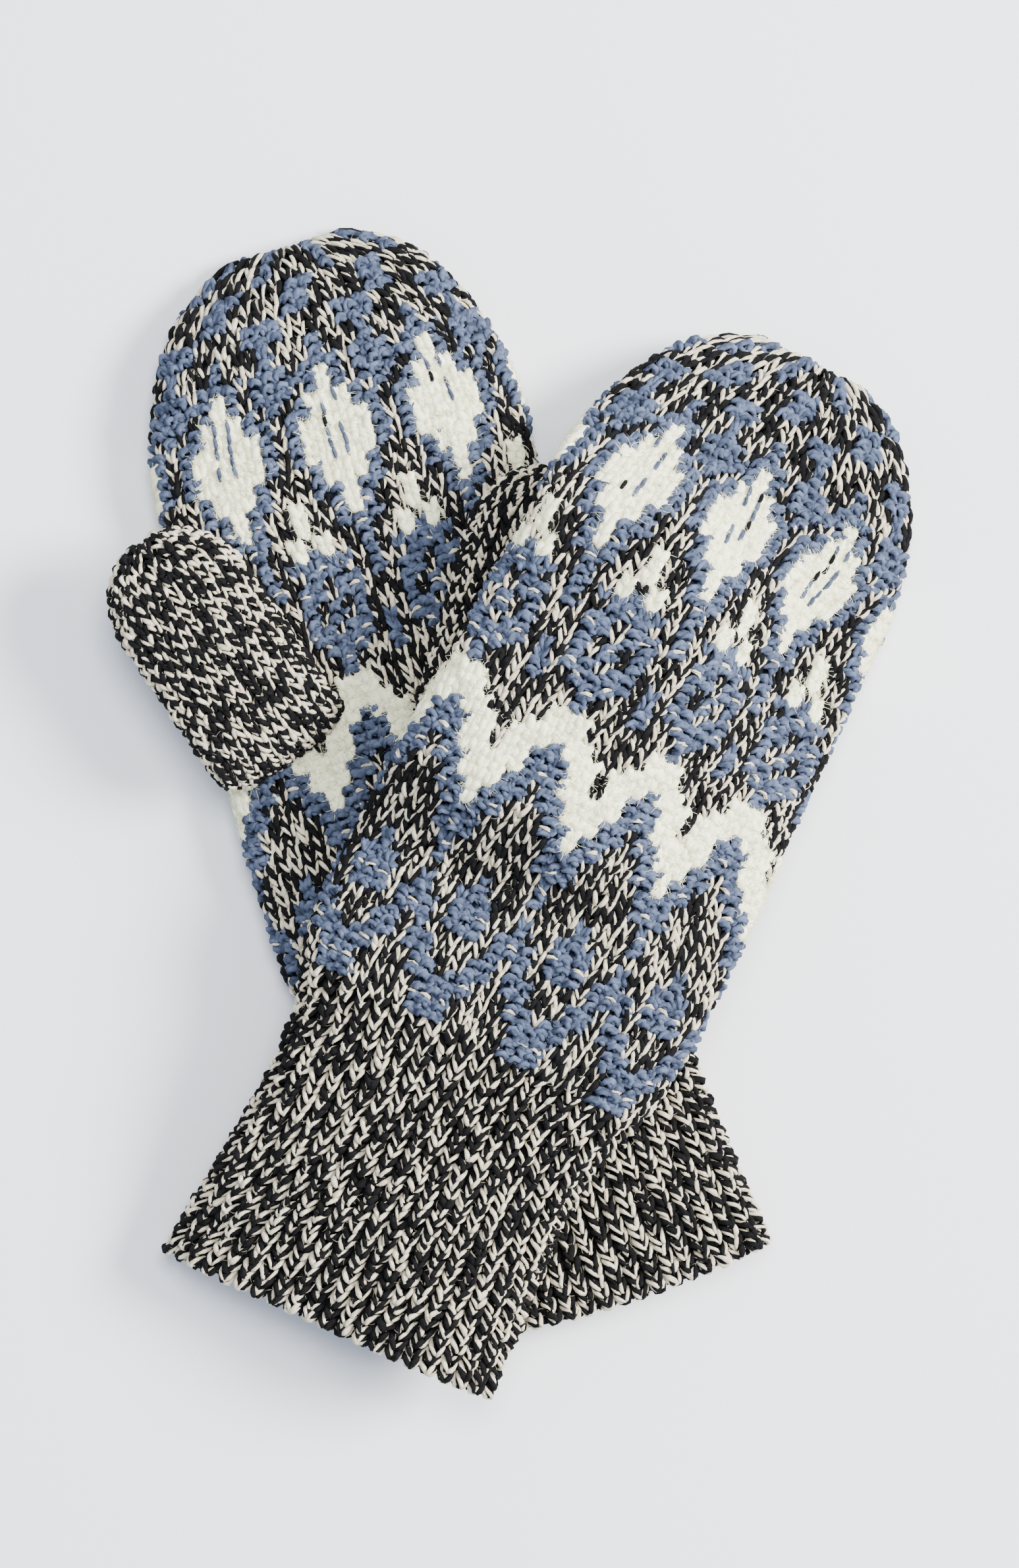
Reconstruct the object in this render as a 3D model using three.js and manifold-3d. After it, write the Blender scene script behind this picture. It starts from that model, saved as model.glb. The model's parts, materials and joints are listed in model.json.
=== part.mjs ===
// A pair of knitted mittens laid out flat, one crossed over the other. Millimetres, +Z up.
// The lower mitten lies palm up on the surface. The upper one lies palm down and drapes over it.
//
// Each mitten is drawn in its own frame: u across the hand, with the thumb at -u, s along the hand
// from the hem (0) to the fingertips, and z up. A fabric wall is a closed shell between an outer and
// an inner ring of points, so every tube keeps the hollow that a hand goes into.

import * as THREE from 'three';
import { mergeVertices } from 'three/addons/utils/BufferGeometryUtils.js';
import Module from 'manifold-3d';

// ---- Driving dimensions -------------------------------------------------------------------------
const MITTEN_LENGTH = 282;
const SEAM_GAP = 0.3;

// Half width of the hand across u, at stations along s, up to where the crown starts to round off.
const HALF_WIDTHS = [
  [0, 45.2],
  [50, 42.2],
  [72, 43.4],
  [92, 50],
  [118, 51.2],
  [160, 50],
  [198, 48.6],
  [222, 48],
];
const CROWN_ROUNDING = MITTEN_LENGTH - HALF_WIDTHS.at(-1)[0];
const CROWN_FULLNESS = 2.4;

const CUFF_HALF_THICKNESS = 9;
const HAND_HALF_THICKNESS = 10;
const TIP_ROUNDING = 34;
const RESTING_SHARE = 0.9;
const SECTION_FULLNESS = 2.6;
const HAND_THICKNESS = HAND_HALF_THICKNESS * (1 + RESTING_SHARE);

// Stations where one knitted zone ends and the next begins.
const HEM_EDGE = 4;
const WRIST = 84;
const SCALLOPS_END = 134;
const ZIGZAG_END = 175;
const HEXAGONS_END = 203;
const LEAVES_END = 232;
const CROWN_END = MITTEN_LENGTH - 4;
const CROWN_HOLLOW_END = MITTEN_LENGTH - 8;
const THINNEST_HOLLOW = { across: 1, high: 0.6 };

const CUFF_WALL = 4;
const HAND_WALL = 4.5;
const THUMB_WALL = 3.4;

// The thumb leaves the palm through an oval hole, bends over and lies along the palm.
const THUMB_BASE = { across: -34, along: 161 };
const THUMB_REACH = 65;
const THUMB_HALF_WIDTH = 19;
const THUMB_HALF_THICKNESS = 6.5;
const THUMB_TIP_ROUNDING = 16;
const THUMB_TIP_FULLNESS = 0.9;
const THUMB_HOLLOW_END = 8;
const THUMB_GATHER_LENGTH = 3;
const THUMB_HOLE_MARGIN = 1;
const THUMB_CLEARANCE = 0.8;
const BEND_RADIUS = THUMB_HALF_THICKNESS + 1;

// How the pair lies: each hem's middle, the turn about +Z, the thumb's turn, and the hand's bow.
const LOWER = { name: 'left', hem: [24.3, -131.5], turn: 17.1, thumbLean: 17.5, bow: -4, palm: 1 };
const UPPER = { name: 'right', hem: [-49.5, -140.8], turn: -27.1, thumbLean: 11.1, bow: 1, palm: -1 };

// The upper mitten rests on the lower one and comes down to the surface on either side of it: flat
// up to DRAPE.flat from the lower mitten's middle line, and down by DRAPE.reach. Where its own thumb
// is folded in under the palm, it is lifted by the thumb, and eases down round it.
const DRAPE = { flat: 36, reach: 123, pastHem: 70, fromHem: 6 };
const OVER_THUMB = { across: [-14, 36], wristSide: [120, 147], tipSide: [213, 248] };
const LAYER_GAP = 0.6;

const RING_POINTS = 24;
const THUMB_RING_POINTS = 20;

// ---- Materials ----------------------------------------------------------------------------------
function yarn(red, green, blue, roughness) {
  const material = new THREE.MeshStandardMaterial({ roughness, metalness: 0 });
  material.color.setRGB(red, green, blue, THREE.SRGBColorSpace);
  return material;
}
const marlYarn = () => yarn(0.58, 0.57, 0.54, 0.92);
const blueYarn = () => yarn(0.45, 0.53, 0.68, 0.93);
const whiteYarn = () => yarn(0.91, 0.91, 0.87, 0.95);

// ---- Shape of the hand --------------------------------------------------------------------------
const radians = THREE.MathUtils.degToRad;
const smoothstep = (low, high, x) => THREE.MathUtils.smoothstep(x, low, high);

// A smooth curve through the stations, with the slope at each one taken from its neighbours.
function throughStations(stations, s) {
  const last = stations.length - 2;
  let i = 0;
  while (i < last && s > stations[i + 1][0]) i += 1;
  const point = (k) => stations[THREE.MathUtils.clamp(k, 0, stations.length - 1)];
  const slope = (k) => (point(k + 1)[1] - point(k - 1)[1]) / (point(k + 1)[0] - point(k - 1)[0]);
  const span = point(i + 1)[0] - point(i)[0];
  const t = (s - point(i)[0]) / span;
  const rise = t * t * (3 - 2 * t);
  const leave = t * (1 - t) * (1 - t) * span * slope(i);
  const arrive = t * t * (t - 1) * span * slope(i + 1);
  return point(i)[1] * (1 - rise) + point(i + 1)[1] * rise + leave + arrive;
}

function halfWidth(s) {
  const fromTip = MITTEN_LENGTH - s;
  if (fromTip >= CROWN_ROUNDING) return throughStations(HALF_WIDTHS, s);
  const left = 1 - fromTip / CROWN_ROUNDING;
  return HALF_WIDTHS.at(-1)[1] * (1 - left * left) ** (1 / CROWN_FULLNESS);
}

function halfThickness(s) {
  const full = THREE.MathUtils.lerp(CUFF_HALF_THICKNESS, HAND_HALF_THICKNESS,
    smoothstep(WRIST - 8, WRIST + 8, s));
  const left = Math.max(0, 1 - (MITTEN_LENGTH - s) / TIP_ROUNDING);
  return full * Math.sqrt(1 - left * left);
}

const centreLine = (mitten, s) => mitten.bow * Math.sin((Math.PI * s) / MITTEN_LENGTH);

function power(value, exponent) {
  return Math.sign(value) * Math.abs(value) ** exponent;
}

function oval(halfU, halfZ, angle) {
  const exponent = 2 / SECTION_FULLNESS;
  return [halfU * power(Math.cos(angle), exponent), halfZ * power(Math.sin(angle), exponent)];
}

function toLayout(mitten, u, s) {
  const turn = radians(mitten.turn);
  return [
    mitten.hem[0] + u * Math.cos(turn) - s * Math.sin(turn),
    mitten.hem[1] + u * Math.sin(turn) + s * Math.cos(turn),
  ];
}

// Top of the upper mitten's thumb, which lies between the two hands.
const THUMB_TOP = HAND_THICKNESS + BEND_RADIUS + THUMB_HALF_THICKNESS + 2 * THUMB_CLEARANCE;

// Height that the underside of a mitten rests at.

function restingHeight(mitten, u, s) {
  if (mitten === LOWER) return 0;
  const [x, y] = toLayout(mitten, u, s);
  const turn = radians(LOWER.turn);
  const dx = x - LOWER.hem[0];
  const dy = y - LOWER.hem[1];
  const aside = Math.abs(dx * Math.cos(turn) + dy * Math.sin(turn));
  const along = dy * Math.cos(turn) - dx * Math.sin(turn);
  const held = (1 - smoothstep(DRAPE.flat, DRAPE.reach, aside))
    * smoothstep(-DRAPE.pastHem, DRAPE.fromHem, along);
  const onMitten = (HAND_THICKNESS + LAYER_GAP) * held;
  const overThumb = (1 - smoothstep(...OVER_THUMB.across, u)) * smoothstep(...OVER_THUMB.wristSide, s)
    * (1 - smoothstep(...OVER_THUMB.tipSide, s));
  return THREE.MathUtils.lerp(onMitten, THUMB_TOP + THUMB_CLEARANCE, overThumb);
}

// One ring of points round the hand, set in from the outside of the fabric by `inset`.
function handRing(mitten, s, inset) {
  const floor = -RESTING_SHARE * halfThickness(s);
  const halfU = Math.max(halfWidth(s) - inset, THINNEST_HOLLOW.across);
  const halfZ = Math.max(halfThickness(s) - inset, THINNEST_HOLLOW.high);
  const middle = centreLine(mitten, s);
  const ring = [];
  for (let k = 0; k < RING_POINTS; k += 1) {
    const [u, w] = oval(halfU, halfZ, (2 * Math.PI * k) / RING_POINTS);
    const across = middle + u;
    const lifted = restingHeight(mitten, across, s) + Math.max(w, floor + inset) - floor;
    ring.push(new THREE.Vector3(across, s, lifted));
  }
  return ring;
}

// ---- Closed shells from rings -------------------------------------------------------------------
// `outer` and `inner` are lists of rings with the same number of points. With `capped`, the far end
// of each surface is closed; otherwise the far ends join in a rim, as the near ends always do. With no
// inner rings the result is a solid plug.
function shell(outer, inner, { capped = false, mirrored = false } = {}) {
  const count = outer[0].length;
  const points = [];
  const faces = [];
  const addRing = (ring) => {
    const first = points.length;
    points.push(...ring);
    return first;
  };
  const addQuad = (a, b, c, d) => faces.push([a, b, c], [a, c, d]);
  const join = (from, to) => {
    for (let k = 0; k < count; k += 1) {
      const next = (k + 1) % count;
      addQuad(from + k, to + k, to + next, from + next);
    }
  };
  const cap = (first, ring, facingAway) => {
    const centre = ring.reduce((sum, point) => sum.add(point), new THREE.Vector3());
    const middle = addRing([centre.divideScalar(count)]);
    for (let k = 0; k < count; k += 1) {
      const next = (k + 1) % count;
      faces.push(facingAway ? [middle, first + next, first + k] : [middle, first + k, first + next]);
    }
  };

  const outerRings = outer.map(addRing);
  const innerRings = inner.map(addRing);
  for (let i = 1; i < outer.length; i += 1) join(outerRings[i - 1], outerRings[i]);
  for (let i = 1; i < inner.length; i += 1) join(innerRings[i], innerRings[i - 1]);
  if (inner.length) {
    join(innerRings[0], outerRings[0]);
  } else {
    cap(outerRings[0], outer[0], false);
  }
  if (capped || !inner.length) {
    cap(outerRings.at(-1), outer.at(-1), true);
    if (inner.length) cap(innerRings.at(-1), inner.at(-1), false);
  } else {
    join(outerRings.at(-1), innerRings.at(-1));
  }

  const geometry = new THREE.BufferGeometry().setFromPoints(points);
  const ordered = mirrored ? faces.map(([a, b, c]) => [a, c, b]) : faces;
  geometry.setIndex(ordered.flat());
  geometry.computeVertexNormals();
  return geometry;
}

function stationsBetween(from, to, steps) {
  return Array.from({ length: steps + 1 }, (_, i) => THREE.MathUtils.lerp(from, to, i / steps));
}

function handTube(mitten, from, to, wall, steps) {
  const stations = stationsBetween(from + SEAM_GAP / 2, to - SEAM_GAP / 2, steps);
  return shell(
    stations.map((s) => handRing(mitten, s, 0)),
    stations.map((s) => handRing(mitten, s, wall)),
  );
}

// The stations crowd towards the tip, where the crown rounds off.
const CROWN_EASING = 0.72;

function crown(mitten) {
  const from = LEAVES_END + SEAM_GAP / 2;
  const eased = (to, steps) => (
    stationsBetween(0, 1, steps).map((t) => from + (to - from) * t ** CROWN_EASING));
  return shell(
    eased(CROWN_END - SEAM_GAP / 2, 7).map((s) => handRing(mitten, s, 0)),
    eased(CROWN_HOLLOW_END, 6).map((s) => handRing(mitten, s, HAND_WALL)),
    { capped: true },
  );
}

function crownGather(mitten) {
  const stations = stationsBetween(CROWN_END + SEAM_GAP / 2, MITTEN_LENGTH - SEAM_GAP, 2);
  return shell(stations.map((s) => handRing(mitten, s, 0)), []);
}

// ---- Shape of the thumb -------------------------------------------------------------------------
function thumbPlace(mitten) {
  const lean = radians(mitten.thumbLean);
  const base = new THREE.Vector2(THUMB_BASE.across + centreLine(mitten, THUMB_BASE.along), THUMB_BASE.along);
  const along = new THREE.Vector2(-Math.sin(lean), Math.cos(lean));
  const across = new THREE.Vector2(along.y, -along.x);
  const palmLevel = mitten.palm > 0 ? HAND_THICKNESS + THUMB_CLEARANCE : THUMB_TOP;
  return { base, along, across, palmLevel };
}

// A ring round the thumb. The frame's origin is the bend's own line, `turned` is how far round the
// bend the ring is, 0 flat on the palm and 1 upright across the thumb, and `past` is beyond the bend.
function thumbRing(mitten, turned, past, halfU, halfZ) {
  const { base, along, across, palmLevel } = thumbPlace(mitten);
  const angle = (turned * Math.PI) / 2;
  const ring = [];
  for (let k = 0; k < THUMB_RING_POINTS; k += 1) {
    const [v, r] = oval(halfU, halfZ, (2 * Math.PI * k) / THUMB_RING_POINTS);
    const radius = BEND_RADIUS + r;
    const forward = BEND_RADIUS - radius * Math.cos(angle) + past;
    const out = radius * Math.sin(angle);
    ring.push(new THREE.Vector3(
      base.x + along.x * forward + across.x * v,
      base.y + along.y * forward + across.y * v,
      palmLevel + mitten.palm * out,
    ));
  }
  return ring;
}

function thumbSize(past) {
  const fromTip = THUMB_REACH - BEND_RADIUS - past;
  const left = Math.max(0, 1 - fromTip / THUMB_TIP_ROUNDING);
  const full = Math.sqrt(1 - left * left);
  return [THUMB_HALF_WIDTH * full ** THUMB_TIP_FULLNESS, THUMB_HALF_THICKNESS * full];
}

function thumbGusset(mitten) {
  const turns = stationsBetween(0, 1, 4);
  const ringsAt = (inset) => turns.map((turned) => (
    thumbRing(mitten, turned, 0, THUMB_HALF_WIDTH - inset, THUMB_HALF_THICKNESS - inset)));
  return shell(ringsAt(0), ringsAt(THUMB_WALL), { mirrored: mitten.palm < 0 });
}

function thumbTube(mitten) {
  const end = THUMB_REACH - BEND_RADIUS;
  const straight = stationsBetween(SEAM_GAP, end - THUMB_TIP_ROUNDING, 3);
  const outer = [...straight, end - 10, end - 6, end - THUMB_GATHER_LENGTH];
  const inner = [...straight, end - THUMB_HOLLOW_END];
  const ringAt = (past, inset) => {
    const [halfU, halfZ] = thumbSize(past);
    return thumbRing(mitten, 1, past, halfU - inset, Math.max(halfZ - inset, THINNEST_HOLLOW.high));
  };
  return shell(
    outer.map((past) => ringAt(past, 0)),
    inner.map((past) => ringAt(past, THUMB_WALL)),
    { capped: true, mirrored: mitten.palm < 0 },
  );
}

function thumbGather(mitten) {
  const end = THUMB_REACH - BEND_RADIUS;
  const from = end - THUMB_GATHER_LENGTH + SEAM_GAP;
  const rings = stationsBetween(from, end - SEAM_GAP, 2).map((past) => {
    const [halfU, halfZ] = thumbSize(past);
    return thumbRing(mitten, 1, past, halfU, halfZ);
  });
  return shell(rings, [], { mirrored: mitten.palm < 0 });
}

// ---- The hole in the palm -----------------------------------------------------------------------
const wasm = await Module();
wasm.setup();

function toManifold(geometry) {
  const bare = geometry.clone();
  bare.deleteAttribute('normal');
  bare.deleteAttribute('uv');
  const merged = mergeVertices(bare, 1e-4);
  return new wasm.Manifold(new wasm.Mesh({
    numProp: 3,
    vertProperties: new Float32Array(merged.attributes.position.array),
    triVerts: new Uint32Array(merged.index.array),
  }));
}

function fromManifold(solid) {
  const mesh = solid.getMesh();
  const geometry = new THREE.BufferGeometry();
  geometry.setAttribute('position', new THREE.BufferAttribute(mesh.vertProperties, 3));
  geometry.setIndex(new THREE.BufferAttribute(mesh.triVerts, 1));
  geometry.computeVertexNormals();
  return geometry;
}

// An upright oval prism, as wide as the thumb's own hollow, through the palm side of the hand only.
function thumbHoleCutter(mitten) {
  const { base } = thumbPlace(mitten);
  const halfWide = THUMB_HALF_WIDTH - THUMB_WALL;
  const halfHigh = THUMB_HALF_THICKNESS - THUMB_HOLE_MARGIN;
  const outline = new THREE.Shape();
  outline.absellipse(0, 0, halfWide, halfHigh, 0, 2 * Math.PI);
  const depth = HAND_THICKNESS / 2 + THUMB_HOLE_MARGIN;
  const prism = new THREE.ExtrudeGeometry(outline, { depth, bevelEnabled: false, curveSegments: 10 });
  const underside = restingHeight(mitten, base.x, base.y);
  const start = underside + (mitten.palm > 0 ? HAND_THICKNESS / 2 : -THUMB_HOLE_MARGIN);
  prism.rotateZ(radians(mitten.thumbLean));
  prism.translate(base.x, base.y, start);
  return prism;
}

function palmWithThumbHole(mitten) {
  const tube = handTube(mitten, SCALLOPS_END, ZIGZAG_END, HAND_WALL, 3);
  return fromManifold(toManifold(tube).subtract(toManifold(thumbHoleCutter(mitten))));
}

// ---- Assembly -----------------------------------------------------------------------------------
function makeMitten(mitten) {
  const group = new THREE.Group();
  const add = (name, geometry, material) => {
    const mesh = new THREE.Mesh(geometry, material);
    mesh.name = `${mitten.name}_${name}`;
    group.add(mesh);
  };
  add('cuff_edge', handTube(mitten, 0, HEM_EDGE, CUFF_WALL, 1), marlYarn());
  add('cuff', handTube(mitten, HEM_EDGE, WRIST, CUFF_WALL, 6), marlYarn());
  add('scallop_band', handTube(mitten, WRIST, SCALLOPS_END, HAND_WALL, 4), blueYarn());
  add('zigzag_band', palmWithThumbHole(mitten), whiteYarn());
  add('hexagon_band', handTube(mitten, ZIGZAG_END, HEXAGONS_END, HAND_WALL, 2), blueYarn());
  add('leaf_band', handTube(mitten, HEXAGONS_END, LEAVES_END, HAND_WALL, 2), whiteYarn());
  add('crown', crown(mitten), marlYarn());
  add('crown_gather', crownGather(mitten), marlYarn());
  add('thumb_gusset', thumbGusset(mitten), marlYarn());
  add('thumb', thumbTube(mitten), marlYarn());
  add('thumb_gather', thumbGather(mitten), marlYarn());
  group.position.set(mitten.hem[0], mitten.hem[1], 0);
  group.rotation.z = radians(mitten.turn);
  return group;
}

// The origin is the middle of the pair's footprint, on the surface that it lies on.
const mittens = new THREE.Group();
mittens.add(makeMitten(LOWER), makeMitten(UPPER));
mittens.updateMatrixWorld(true);
const extent = new THREE.Box3().setFromObject(mittens, true);
const middle = extent.getCenter(new THREE.Vector3());
mittens.position.set(-middle.x, -middle.y, -extent.min.z);

export default mittens;
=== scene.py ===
# A pair of knitted mittens, laid out flat with one crossed over the other, seen from straight above.
#
# Every stitch is modelled. A mitten is a tube of fabric: a grid of points with `f` round it, from 0 to
# 1, and `t` along it, in millimetres. A stitch is a short path of yarn laid on that grid, and each path
# becomes one or two plies twisted round each other. Shapes are in millimetres until they become meshes.

import json
import math

import bpy
import numpy as np
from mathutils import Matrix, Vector


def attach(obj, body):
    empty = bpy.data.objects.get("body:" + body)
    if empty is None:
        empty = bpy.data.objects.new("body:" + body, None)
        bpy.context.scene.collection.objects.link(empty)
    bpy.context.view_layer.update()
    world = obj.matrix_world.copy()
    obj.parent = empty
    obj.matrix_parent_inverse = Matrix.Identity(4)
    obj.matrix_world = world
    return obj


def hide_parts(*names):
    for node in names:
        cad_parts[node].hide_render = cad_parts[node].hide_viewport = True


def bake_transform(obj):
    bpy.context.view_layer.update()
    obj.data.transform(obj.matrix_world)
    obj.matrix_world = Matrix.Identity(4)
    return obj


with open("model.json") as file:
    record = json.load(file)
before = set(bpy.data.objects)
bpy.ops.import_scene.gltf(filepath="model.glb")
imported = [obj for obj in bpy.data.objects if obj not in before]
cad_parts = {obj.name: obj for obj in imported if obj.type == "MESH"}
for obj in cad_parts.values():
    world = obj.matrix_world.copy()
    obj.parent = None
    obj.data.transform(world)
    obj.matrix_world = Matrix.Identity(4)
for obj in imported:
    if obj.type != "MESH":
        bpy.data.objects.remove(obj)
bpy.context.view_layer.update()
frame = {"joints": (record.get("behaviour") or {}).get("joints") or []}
joints = {joint["name"]: joint for joint in frame["joints"]}

MM = 0.001

# ---- Shape of the fabric ------------------------------------------------------------------------
LENGTH = 282.0
WRIST = 84.0
ZIGZAG_END = 175.0
LEAVES_END = 232.0
HALF_WIDTHS = np.array(
    [[0, 45.2], [50, 42.2], [72, 43.4], [92, 50], [118, 51.2], [160, 50], [198, 48.6], [222, 48]], float
)
CROWN_ROUNDING = LENGTH - HALF_WIDTHS[-1, 0]
CROWN_FULLNESS = 2.4
CUFF_HALF_THICKNESS = 9.0
HAND_HALF_THICKNESS = 10.0
TIP_ROUNDING = 34.0
RESTING_SHARE = 0.9
SECTION_FULLNESS = 2.6
HAND_THICKNESS = HAND_HALF_THICKNESS * (1 + RESTING_SHARE)
WRIST_EASE = 8  # the cuff's thickness changes to the hand's over this distance on either side
LAYER_GAP = 0.6

# The upper mitten's underside is held up by the lower mitten and arches over its own thumb. Each slope
# is given by its start and its end: the held ones in the lower mitten's frame, the others in its own.
HELD_ASIDE, HELD_ALONG = (36, 123), (-70, 6)
ARCH_ASIDE, ARCH_STARTS, ARCH_ENDS = (-14, 36), (120, 147), (213, 248)

THUMB_BASE = (-34.0, 161.0)
THUMB_REACHES = {"left": 61.5, "right": 65.0}
THUMB_HALF_WIDTH = 19.0
THUMB_HALF_THICKNESS = 6.5
THUMB_TIP_ROUNDING = 20.0
THUMB_TIP_FULLNESS = 0.95
THUMB_CLEARANCE = 0.8
BEND_RADIUS = THUMB_HALF_THICKNESS + 1
THUMB_TOP = HAND_THICKNESS + BEND_RADIUS + THUMB_HALF_THICKNESS + 2 * THUMB_CLEARANCE

YARN_INSET = 1.3  # from the outside of the fabric to the middle of its yarn
THUMB_INSETS = {"left": YARN_INSET, "right": 1.7}  # the right thumb swings close above the lower mitten


def smoothstep(low, high, x):
    t = np.clip((x - low) / (high - low), 0, 1)
    return t * t * (3 - 2 * t)


def half_width(s):
    """Smooth curve through HALF_WIDTHS, closed by a round crown."""
    s = np.asarray(s, float)
    xs, ys = HALF_WIDTHS.T
    padded_x = np.concatenate([[xs[0]], xs, [xs[-1]]])
    padded_y = np.concatenate([[ys[0]], ys, [ys[-1]]])
    slopes = (padded_y[2:] - padded_y[:-2]) / (padded_x[2:] - padded_x[:-2])
    i = np.clip(np.searchsorted(xs, s) - 1, 0, len(xs) - 2)
    span = xs[i + 1] - xs[i]
    t = (s - xs[i]) / span
    rise = t * t * (3 - 2 * t)
    body = (
        ys[i] * (1 - rise)
        + ys[i + 1] * rise
        + t * (1 - t) ** 2 * span * slopes[i]
        + t * t * (t - 1) * span * slopes[i + 1]
    )
    left = np.clip(1 - (LENGTH - s) / CROWN_ROUNDING, 0, 1)
    crown = ys[-1] * (1 - left * left) ** (1 / CROWN_FULLNESS)
    return np.where(s >= xs[-1], crown, body)


def half_thickness(s):
    in_hand = smoothstep(WRIST - WRIST_EASE, WRIST + WRIST_EASE, s)
    full = CUFF_HALF_THICKNESS + (HAND_HALF_THICKNESS - CUFF_HALF_THICKNESS) * in_hand
    left = np.clip(1 - (LENGTH - s) / TIP_ROUNDING, 0, 1)
    return full * np.sqrt(1 - left * left)


def power(value, exponent):
    return np.sign(value) * np.abs(value) ** exponent


def bowed(bow, s):
    """How far the middle line has moved aside at station s."""
    return bow * np.sin(math.pi * s / LENGTH)


def oval(half_u, half_z, angle):
    exponent = 2 / SECTION_FULLNESS
    return half_u * power(np.cos(angle), exponent), half_z * power(np.sin(angle), exponent)


# ---- Where each mitten lies, from the record's joints -------------------------------------------
def make_mitten(name, joint, axis_sign, station, bow, palm, chart_at_middle, seed, swell_seed):
    """One mitten's own frame: `across` and `along` in the row frame, and the middle of its hem. The
    joint lies at `station` on the middle line. `palm` is 1 with the palm up and -1 with it down."""
    found = joints[joint]
    across = axis_sign * np.array(found["axis"][:2], float)
    across /= np.linalg.norm(across)
    along = np.array([-across[1], across[0]])
    position = np.array(found["pos_m"][:2], float) / MM
    hem = position - across * bowed(bow, station) - along * station
    return {
        "name": name,
        "across": across,
        "along": along,
        "hem": hem,
        "bow": bow,
        "palm": palm,
        "chart_at_middle": chart_at_middle,
        "rng": np.random.default_rng(seed),
        "swell_seed": swell_seed,
    }


LEFT = make_mitten(
    "left", "left_fingertip_fold", axis_sign=1, station=LEAVES_END, bow=-4.0, palm=1,
    chart_at_middle=3.17, seed=11, swell_seed=9,
)
RIGHT = make_mitten(
    "right", "right_cuff_fold", axis_sign=-1, station=WRIST, bow=1.0, palm=-1,
    chart_at_middle=-3.57, seed=23, swell_seed=10,
)
THUMB_LEANS = {"left": math.radians(17.5), "right": math.radians(11.1)}


def to_row_frame(mitten, points):
    """Points (u, s, z) in the mitten's frame to the row frame, still in millimetres."""
    flat = mitten["hem"] + points[..., 0:1] * mitten["across"] + points[..., 1:2] * mitten["along"]
    return np.concatenate([flat, points[..., 2:3]], axis=-1)


def resting_height(mitten, u, s):
    """Height of the underside: the right mitten drapes over the left one and over its own thumb."""
    if mitten is LEFT:
        return np.zeros(np.broadcast(u, s).shape)
    flat = mitten["hem"] + u[..., None] * mitten["across"] + s[..., None] * mitten["along"] - LEFT["hem"]
    aside = np.abs(flat @ LEFT["across"])
    along = flat @ LEFT["along"]
    held = (1 - smoothstep(*HELD_ASIDE, aside)) * smoothstep(*HELD_ALONG, along)
    on_mitten = (HAND_THICKNESS + LAYER_GAP) * held
    arch_along = smoothstep(*ARCH_STARTS, s) * (1 - smoothstep(*ARCH_ENDS, s))
    over_thumb = (1 - smoothstep(*ARCH_ASIDE, u)) * arch_along
    return on_mitten + (THUMB_TOP + THUMB_CLEARANCE - on_mitten) * over_thumb


ROUND_REACH, ALONG_REACH = 1.5, 1.6  # millimetres to the points that give the fabric's normal
SMALLEST_GIRTH = 12


class Fabric:
    """A tube of fabric as a grid of points. `start` and `step` give t along the grid's first axis,
    and `outward` is -1 where the grid's own normals point into the fabric."""

    def __init__(self, grid, start, step, outward=1):
        self.grid, self.start, self.step, self.outward = grid, start, step, outward
        closed = np.concatenate([grid, grid[:, :1]], axis=1)
        self.round = np.linalg.norm(np.diff(closed, axis=1), axis=2).sum(1)

    def girth(self, t):
        rows = self.start + self.step * np.arange(len(self.round))
        return np.interp(t, rows, self.round)

    def at(self, f, t):
        rows, columns = self.grid.shape[:2]
        y = np.clip((t - self.start) / self.step, 0, rows - 1.001)
        x = (f % 1.0) * columns
        i, j = np.floor(y).astype(int), np.floor(x).astype(int) % columns
        v, h = (y - i)[..., None], (x - np.floor(x))[..., None]
        k = (j + 1) % columns
        near = self.grid[i, j] * (1 - h) + self.grid[i, k] * h
        far = self.grid[i + 1, j] * (1 - h) + self.grid[i + 1, k] * h
        return near * (1 - v) + far * v

    def normal(self, f, t):
        round_step = ROUND_REACH / np.maximum(self.girth(t), SMALLEST_GIRTH)
        d_round = self.at(f + round_step, t) - self.at(f - round_step, t)
        d_along = self.at(f, t + ALONG_REACH) - self.at(f, t - ALONG_REACH)
        n = np.cross(d_round, d_along) * self.outward
        return n / np.maximum(np.linalg.norm(n, axis=-1, keepdims=True), 1e-9)

    def lifted(self, f, t, height):
        """Points `height` millimetres off the fabric, and the normals there."""
        n = self.normal(f, t)
        return self.at(f, t) + n * np.asarray(height)[..., None], n


def even_rings(rings, count, stretch=0.0, shift=0.0):
    """Respaces closed rings evenly along their length. `stretch` widens the spacing near the start,
    and `shift` turns the ring by that many millimetres. Either may differ from ring to ring."""
    closed = np.concatenate([rings, rings[:, :1]], axis=1)
    lengths = np.linalg.norm(np.diff(closed, axis=1), axis=2)
    travelled = np.concatenate([np.zeros((len(rings), 1)), np.cumsum(lengths, axis=1)], axis=1)
    f = np.arange(count)[None, :] / count
    stretch, shift = (np.broadcast_to(value, len(rings))[:, None] for value in (stretch, shift))
    wanted = (f + stretch * np.sin(2 * math.pi * f) + shift / travelled[:, -1:]) % 1.0
    made = np.empty((len(rings), count, 3))
    for ring, places, along, points in zip(made, wanted, travelled, closed):
        for axis in range(3):
            ring[:, axis] = np.interp(places * along[-1], along, points[:, axis])
    return made


def lowered_rows(grid, fall, step):
    """The same surface, with its rows of stitches `fall` [row, column] millimetres nearer the hem."""
    rows = np.arange(len(grid))
    made = np.empty_like(grid)
    for k in range(grid.shape[1]):
        for axis in range(3):
            made[:, k, axis] = np.interp(rows - fall[:, k] / step, rows, grid[:, k, axis])
    return made


WAVES = 9
# Swells of the upper side: range of waves round it, range of their lengths along it, and their size.
SWELLS = [((1, 6), (38, 120), 1.3), ((7, 16), (13, 32), 0.55)]


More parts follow.
